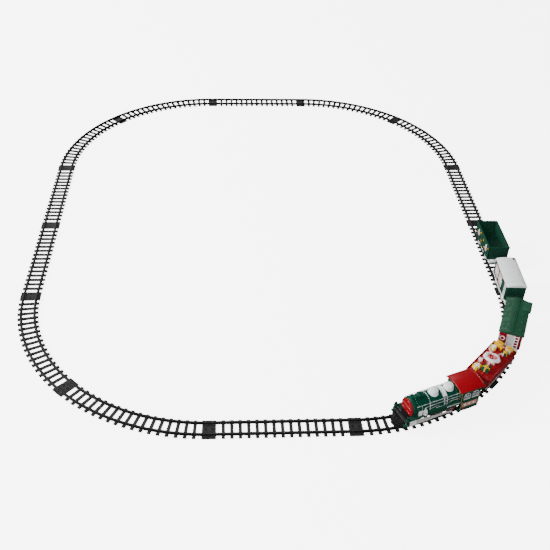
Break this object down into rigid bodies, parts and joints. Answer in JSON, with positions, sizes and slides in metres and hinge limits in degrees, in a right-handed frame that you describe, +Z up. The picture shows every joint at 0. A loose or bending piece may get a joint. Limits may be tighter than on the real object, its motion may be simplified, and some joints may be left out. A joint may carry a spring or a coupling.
{
  "type": "toy train set",
  "caption": "Battery toy steam train with tender, coach, box car and open gondola on an oval of clip-together black plastic track.",
  "frame": {"origin": "centre of the track oval, on the floor it lies on", "axes": "+Y along the long side of the oval, +Z up; the train runs clockwise seen from above, from +Y towards -Y on the +X side"},
  "size_m": [1.0125, 1.26, 0.0655],
  "materials": {
    "track_black": "satin",
    "frame_black": "gloss",
    "gloss_green": "gloss",
    "dark_green": "gloss",
    "gloss_red": "gloss",
    "dark_red": "satin",
    "white": "satin",
    "pale_gold": "satin",
    "silver": "satin metallised",
    "gift_yellow": "gloss",
    "steel": "satin",
    "cell_wrap": "gloss",
    "gear_white": "satin"
  },
  "bodies": {
    "track": {"track_straight_1": "track_black", "track_straight_2": "track_black", "track_straight_3": "track_black", "track_straight_4": "track_black", "track_straight_5": "track_black", "track_straight_6": "track_black", "track_curve_1": "track_black", "track_curve_2": "track_black", "track_curve_3": "track_black", "track_curve_4": "track_black", "track_curve_5": "track_black", "track_curve_6": "track_black", "track_curve_7": "track_black", "track_curve_8": "track_black"},
    "locomotive": {"loco_chassis": "frame_black", "boiler_shell": "gloss_green", "chimney": "gloss_green", "bell_dome": "gloss_green", "steam_dome_front": "white", "steam_dome_rear": "white", "cab": "gloss_green", "cab_roof": "gloss_red", "cowcatcher": "frame_black", "valve_gear_left": "white", "valve_gear_right": "white", "motor": "steel", "cell_left": "cell_wrap", "cell_right": "cell_wrap"},
    "smokebox_cap": {"smokebox_cap": "gloss_red"},
    "power_switch": {"power_switch": "white"},
    "drivers_rear": {"drivers_rear": "gloss_red", "drive_gear": "gear_white"},
    "drivers_front": {"drivers_front": "gloss_red"},
    "pilot_wheels": {"pilot_wheels": "gloss_red"},
    "side_rod_left": {"side_rod_left": "silver"},
    "side_rod_right": {"side_rod_right": "silver"},
    "tender": {"tender_chassis": "dark_green", "tender_body": "gloss_red", "gift_load": "gift_yellow"},
    "coach": {"coach_chassis": "white", "coach_body": "dark_red", "coach_roof": "gloss_green"},
    "box_car": {"boxcar_chassis": "white", "boxcar_body": "dark_green", "boxcar_roof": "white"},
    "gondola": {"gondola_chassis": "white", "gondola_body": "dark_green"},
    "tender_wheels_front": {"tender_wheels_front": "pale_gold"},
    "tender_wheels_rear": {"tender_wheels_rear": "pale_gold"},
    "coach_wheels_front": {"coach_wheels_front": "pale_gold"},
    "coach_wheels_rear": {"coach_wheels_rear": "pale_gold"},
    "boxcar_wheels_front": {"boxcar_wheels_front": "pale_gold"},
    "boxcar_wheels_rear": {"boxcar_wheels_rear": "pale_gold"},
    "gondola_wheels_front": {"gondola_wheels_front": "pale_gold"},
    "gondola_wheels_rear": {"gondola_wheels_rear": "pale_gold"},
    "tender_coupling": {"tender_coupling": "silver"},
    "coach_coupling": {"coach_coupling": "silver"},
    "boxcar_coupling": {"boxcar_coupling": "silver"},
    "gondola_coupling": {"gondola_coupling": "silver"}
  },
  "joints": [
    {"name": "train_run", "type": "hinge", "parent": "track", "child": "locomotive", "pos_m": [0.125, -0.25, 0], "axis": [0, 0, -1], "range_deg": [-3.5, 3.5]},
    {"name": "tender_run", "type": "hinge", "parent": "track", "child": "tender", "pos_m": [0.125, -0.25, 0], "axis": [0, 0, -1], "range_deg": [-3.55, 3.55]},
    {"name": "coach_run", "type": "hinge", "parent": "track", "child": "coach", "pos_m": [0.125, -0.25, 0], "axis": [0, 0, -1], "range_deg": [-3.55, 3.55]},
    {"name": "boxcar_run", "type": "hinge", "parent": "track", "child": "box_car", "pos_m": [-0.03982, -0.233, 0], "axis": [0, 0, -1], "range_deg": [-2.45, 2.45]},
    {"name": "gondola_run", "type": "slide", "parent": "track", "child": "gondola", "axis": [0, -1, 0], "range_m": [-0.02219, 0.02219]},
    {"name": "drivers_rear_spin", "type": "hinge", "parent": "locomotive", "child": "drivers_rear", "pos_m": [0.2874, -0.57129, 0.0193], "axis": [0.3675, -0.93, 0], "range_deg": [-110.6, 110.6]},
    {"name": "drivers_front_spin", "type": "hinge", "parent": "locomotive", "child": "drivers_front", "pos_m": [0.25764, -0.58305, 0.0193], "axis": [0.3675, -0.93, 0], "range_deg": [-110.6, 110.6]},
    {"name": "pilot_wheels_spin", "type": "hinge", "parent": "locomotive", "child": "pilot_wheels", "pos_m": [0.22602, -0.59554, 0.0138], "axis": [0.3675, -0.93, 0], "range_deg": [-211, 211]},
    {"name": "side_rod_left_swing", "type": "hinge", "parent": "drivers_rear", "child": "side_rod_left", "pos_m": [0.28898, -0.57066, 0.01636], "axis": [0.3675, -0.93, 0], "range_deg": [-110.6, 110.6]},
    {"name": "side_rod_right_swing", "type": "hinge", "parent": "drivers_rear", "child": "side_rod_right", "pos_m": [0.28466, -0.57237, 0.0176], "axis": [0.3675, -0.93, 0], "range_deg": [-110.6, 110.6]},
    {"name": "tender_wheels_front_spin", "type": "hinge", "parent": "tender", "child": "tender_wheels_front", "pos_m": [0.36406, -0.51917, 0.0138], "axis": [0.7183, -0.6957, 0], "range_deg": [-211, 211]},
    {"name": "tender_wheels_rear_spin", "type": "hinge", "parent": "tender", "child": "tender_wheels_rear", "pos_m": [0.40163, -0.48039, 0.0138], "axis": [0.7183, -0.6957, 0], "range_deg": [-211, 211]},
    {"name": "coach_wheels_front_spin", "type": "hinge", "parent": "coach", "child": "coach_wheels_front", "pos_m": [0.44281, -0.41912, 0.0138], "axis": [0.9156, -0.4022, 0], "range_deg": [-211, 211]},
    {"name": "coach_wheels_rear_spin", "type": "hinge", "parent": "coach", "child": "coach_wheels_rear", "pos_m": [0.46453, -0.36968, 0.0138], "axis": [0.9156, -0.4022, 0], "range_deg": [-211, 211]},
    {"name": "boxcar_wheels_front_spin", "type": "hinge", "parent": "box_car", "child": "boxcar_wheels_front", "pos_m": [0.4831, -0.28697, 0.0138], "axis": [0.9994, -0.0352, 0], "range_deg": [-211, 211]},
    {"name": "boxcar_wheels_rear_spin", "type": "hinge", "parent": "box_car", "child": "boxcar_wheels_rear", "pos_m": [0.485, -0.233, 0.0138], "axis": [0.9994, -0.0352, 0], "range_deg": [-211, 211]},
    {"name": "gondola_wheels_front_spin", "type": "hinge", "parent": "gondola", "child": "gondola_wheels_front", "pos_m": [0.485, -0.147, 0.0138], "axis": [1, 0, 0], "range_deg": [-211, 211]},
    {"name": "gondola_wheels_rear_spin", "type": "hinge", "parent": "gondola", "child": "gondola_wheels_rear", "pos_m": [0.485, -0.093, 0.0138], "axis": [1, 0, 0], "range_deg": [-211, 211]},
    {"name": "tender_coupling_swing", "type": "hinge", "parent": "tender", "child": "tender_coupling", "pos_m": [0.35362, -0.52995, 0.0172], "axis": [0, 0, 1], "range_deg": [-2.5, 2.5]},
    {"name": "coach_coupling_swing", "type": "hinge", "parent": "coach", "child": "coach_coupling", "pos_m": [0.43235, -0.44292, 0.0172], "axis": [0, 0, 1], "range_deg": [-2.5, 2.5]},
    {"name": "boxcar_coupling_swing", "type": "hinge", "parent": "box_car", "child": "boxcar_coupling", "pos_m": [0.48218, -0.31295, 0.0172], "axis": [0, 0, 1], "range_deg": [-2.5, 2.5]},
    {"name": "gondola_coupling_swing", "type": "hinge", "parent": "gondola", "child": "gondola_coupling", "pos_m": [0.485, -0.173, 0.0172], "axis": [0, 0, 1], "range_deg": [-2.5, 2.5]},
    {"name": "smokebox_cap_pull", "type": "slide", "parent": "locomotive", "child": "smokebox_cap", "axis": [-0.93, -0.3675, 0], "range_m": [0, 0.012]},
    {"name": "power_switch_slide", "type": "slide", "parent": "locomotive", "child": "power_switch", "axis": [-0.93, -0.3675, 0], "range_m": [0, 0.004]}
  ],
  "couplings": [
    {"joint": "tender_run", "follows": "train_run", "ratio": 1},
    {"joint": "coach_run", "follows": "train_run", "ratio": 1},
    {"joint": "boxcar_run", "follows": "train_run", "ratio": 0.68595},
    {"joint": "gondola_run", "follows": "train_run", "m_per_rad": 0.36},
    {"joint": "drivers_rear_spin", "follows": "train_run", "ratio": 31.304},
    {"joint": "drivers_front_spin", "follows": "train_run", "ratio": 31.304},
    {"joint": "pilot_wheels_spin", "follows": "train_run", "ratio": 60},
    {"joint": "side_rod_left_swing", "follows": "train_run", "ratio": -31.304},
    {"joint": "side_rod_right_swing", "follows": "train_run", "ratio": -31.304},
    {"joint": "tender_wheels_front_spin", "follows": "train_run", "ratio": 60},
    {"joint": "tender_wheels_rear_spin", "follows": "train_run", "ratio": 60},
    {"joint": "coach_wheels_front_spin", "follows": "train_run", "ratio": 60},
    {"joint": "coach_wheels_rear_spin", "follows": "train_run", "ratio": 60},
    {"joint": "boxcar_wheels_front_spin", "follows": "train_run", "ratio": 60},
    {"joint": "boxcar_wheels_rear_spin", "follows": "train_run", "ratio": 60},
    {"joint": "gondola_wheels_front_spin", "follows": "train_run", "ratio": 60},
    {"joint": "gondola_wheels_rear_spin", "follows": "train_run", "ratio": 60}
  ]
}
